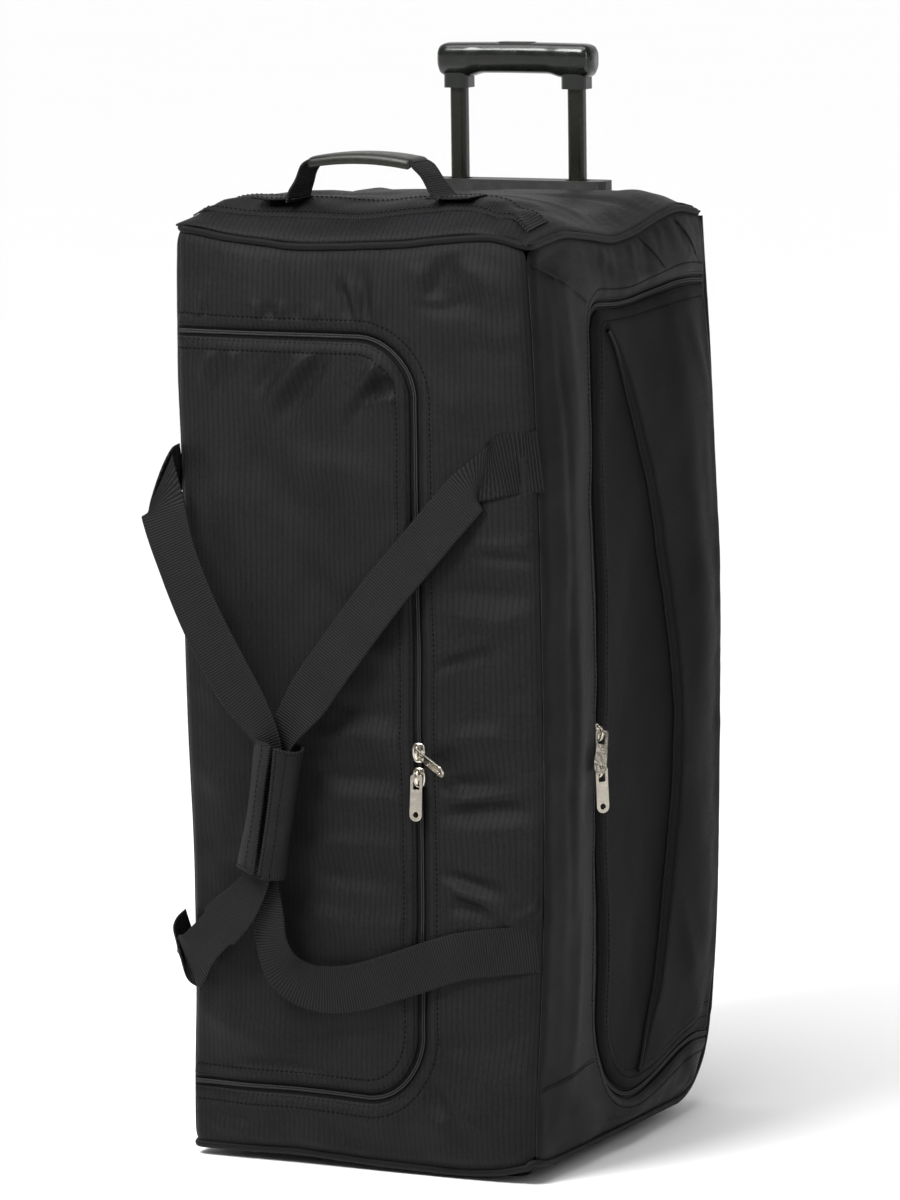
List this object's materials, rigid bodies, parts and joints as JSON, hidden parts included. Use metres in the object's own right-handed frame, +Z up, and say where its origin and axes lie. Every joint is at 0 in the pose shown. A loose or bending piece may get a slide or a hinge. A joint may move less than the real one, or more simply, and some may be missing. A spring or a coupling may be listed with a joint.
{
  "type": "rolling duffel bag",
  "caption": "Soft rolling duffel bag standing on its wheel end, with a U-zip front flap, zipped side pocket, carry straps, grab handle and telescopic pull handle.",
  "frame": {"origin": "on the floor, under the middle of the outline of the bag standing on its wheel end", "axes": "+Z up along the length of the bag, -Y towards the front with the U-zip flap, +X towards the side with the zipped pocket, +Y towards the back with the pull handle and wheels"},
  "size_m": [0.3462, 0.395, 0.8935],
  "materials": {
    "fabric_ripstop": "matte",
    "fabric_side": "matte",
    "back_fabric": "matte",
    "base_fabric": "matte",
    "lining": "matte",
    "webbing": "matte",
    "piping": "satin",
    "zip_tape": "matte",
    "wrap_fabric": "matte",
    "nickel": "polished",
    "tube": "satin",
    "grip_plastic": "gloss",
    "grab_plastic": "satin",
    "base_plastic": "satin",
    "hub_plastic": "satin",
    "tyre": "matte",
    "foot_rubber": "matte",
    "axle_steel": "satin"
  },
  "bodies": {
    "bag": {"front_panel": "fabric_ripstop", "front_zip_tape_outer": "zip_tape", "left_side_panel": "fabric_side", "right_side_panel": "fabric_side", "pocket_zip_tape_outer": "zip_tape", "pocket_lining": "lining", "back_panel": "back_fabric", "bottom_panel": "base_fabric", "top_panel": "fabric_ripstop", "top_piping": "piping", "bottom_piping": "piping", "back_lining_board": "lining", "top_webbing": "webbing", "outer_tube_left": "tube", "outer_tube_right": "tube", "top_bezel": "base_plastic", "tube_foot_bracket": "base_plastic", "wheel_housing_left": "base_plastic", "wheel_housing_right": "base_plastic", "axle_left": "axle_steel", "axle_right": "axle_steel", "front_foot_left": "foot_rubber", "front_foot_right": "foot_rubber", "skid_rail_left": "base_plastic", "skid_rail_right": "base_plastic"},
    "front_flap": {"flap_panel": "fabric_ripstop", "flap_zip_tape": "zip_tape"},
    "pocket_flap": {"pocket_panel": "fabric_side", "pocket_zip_tape_inner": "zip_tape", "pocket_arc_piping": "piping"},
    "front_slider_up": {"front_slider_upper": "nickel"},
    "front_slider_low": {"front_slider_lower": "nickel"},
    "front_pull_up": {"front_pull_upper": "nickel"},
    "front_pull_low": {"front_pull_lower": "nickel"},
    "pocket_slider_up": {"pocket_slider_upper": "nickel"},
    "pocket_slider_low": {"pocket_slider_lower": "nickel"},
    "pocket_pull_up": {"pocket_pull_upper": "nickel"},
    "pocket_pull_low": {"pocket_pull_lower": "nickel"},
    "strap_right": {"carry_strap_right": "webbing", "handle_wrap": "wrap_fabric"},
    "strap_left": {"carry_strap_left": "webbing"},
    "grab_handle": {"grab_webbing": "webbing", "grab_sleeve": "grab_plastic"},
    "trolley_mid": {"mid_tube_left": "tube", "mid_tube_right": "tube"},
    "trolley_inner": {"inner_tube_left": "tube", "inner_tube_right": "tube", "grip_collar_left": "grip_plastic", "grip_collar_right": "grip_plastic", "trolley_grip": "grip_plastic"},
    "trolley_button": {"release_button": "base_plastic"},
    "wheel_left": {"wheel_tyre_left": "tyre", "wheel_hub_left": "hub_plastic"},
    "wheel_right": {"wheel_tyre_right": "tyre", "wheel_hub_right": "hub_plastic"}
  },
  "joints": [
    {"name": "front_flap_hinge", "type": "hinge", "parent": "bag", "child": "front_flap", "pos_m": [-0.1631, -0.1505, 0.371], "axis": [0, 0, -1], "range_deg": [0, 110]},
    {"name": "pocket_flap_hinge", "type": "hinge", "parent": "bag", "child": "pocket_flap", "pos_m": [0.1509, 0.1815, 0.38], "axis": [0, 0, 1], "range_deg": [0, 100]},
    {"name": "front_slider_up_slide", "type": "slide", "parent": "front_flap", "child": "front_slider_up", "axis": [0, 0, 1], "range_m": [0, 0.25]},
    {"name": "front_slider_low_slide", "type": "slide", "parent": "front_flap", "child": "front_slider_low", "axis": [0, 0, 1], "range_m": [-0.2, 0]},
    {"name": "pocket_slider_up_slide", "type": "slide", "parent": "pocket_flap", "child": "pocket_slider_up", "axis": [0, 0, 1], "range_m": [0, 0.3]},
    {"name": "pocket_slider_low_slide", "type": "slide", "parent": "pocket_flap", "child": "pocket_slider_low", "axis": [0, 0, 1], "range_m": [-0.19, 0]},
    {"name": "front_pull_up_swing", "type": "hinge", "parent": "front_slider_up", "child": "front_pull_up", "pos_m": [0.0509, -0.1574, 0.346], "axis": [-0.8776, -0.3602, -0.3164], "range_deg": [0, 60]},
    {"name": "front_pull_low_swing", "type": "hinge", "parent": "front_slider_low", "child": "front_pull_low", "pos_m": [0.0509, -0.1574, 0.326], "axis": [-1, 0, 0], "range_deg": [0, 70]},
    {"name": "pocket_pull_up_swing", "type": "hinge", "parent": "pocket_slider_up", "child": "pocket_pull_up", "pos_m": [0.1578, -0.0485, 0.352], "axis": [0, -1, 0], "range_deg": [0, 90]},
    {"name": "pocket_pull_low_swing", "type": "hinge", "parent": "pocket_slider_low", "child": "pocket_pull_low", "pos_m": [0.1578, -0.0485, 0.322], "axis": [0, -1, 0], "range_deg": [0, 60]},
    {"name": "strap_right_swing", "type": "hinge", "parent": "bag", "child": "strap_right", "pos_m": [0.1509, -0.1505, 0.388], "axis": [0, 0, 1], "range_deg": [0, 176], "deforming": ["carry_strap_right"]},
    {"name": "strap_left_swing", "type": "hinge", "parent": "bag", "child": "strap_left", "pos_m": [-0.1631, -0.1505, 0.388], "axis": [0, 0, -1], "range_deg": [0, 176], "deforming": ["carry_strap_left"]},
    {"name": "grab_handle_fold", "type": "hinge", "parent": "bag", "child": "grab_handle", "pos_m": [-0.0061, -0.1135, 0.783], "axis": [1, 0, 0], "range_deg": [-55, 55], "deforming": ["grab_webbing"]},
    {"name": "trolley_mid_slide", "type": "slide", "parent": "bag", "child": "trolley_mid", "axis": [0, 0, 1], "range_m": [0, 0.18]},
    {"name": "trolley_inner_slide", "type": "slide", "parent": "trolley_mid", "child": "trolley_inner", "axis": [0, 0, 1], "range_m": [-0.075, 0.14]},
    {"name": "release_button_press", "type": "slide", "parent": "trolley_inner", "child": "trolley_button", "axis": [0, 0, -1], "range_m": [0, 0.003], "stiffness_N_per_m": 600, "springref_m": -0.002},
    {"name": "wheel_left_spin", "type": "hinge", "parent": "bag", "child": "wheel_left", "pos_m": [-0.1001, 0.1615, 0.033], "axis": [1, 0, 0], "continuous": true},
    {"name": "wheel_right_spin", "type": "hinge", "parent": "bag", "child": "wheel_right", "pos_m": [0.0879, 0.1615, 0.033], "axis": [1, 0, 0], "continuous": true}
  ],
  "couplings": [
    {"joint": "strap_right_swing", "follows": "front_flap_hinge", "ratio": 1.6},
    {"joint": "strap_left_swing", "follows": "front_flap_hinge", "ratio": 1.6},
    {"joint": "front_slider_up_slide", "follows": "front_flap_hinge", "m_per_rad": 0.13},
    {"joint": "front_slider_low_slide", "follows": "front_flap_hinge", "m_per_rad": -0.104},
    {"joint": "pocket_slider_up_slide", "follows": "pocket_flap_hinge", "m_per_rad": 0.17},
    {"joint": "pocket_slider_low_slide", "follows": "pocket_flap_hinge", "m_per_rad": -0.108}
  ]
}
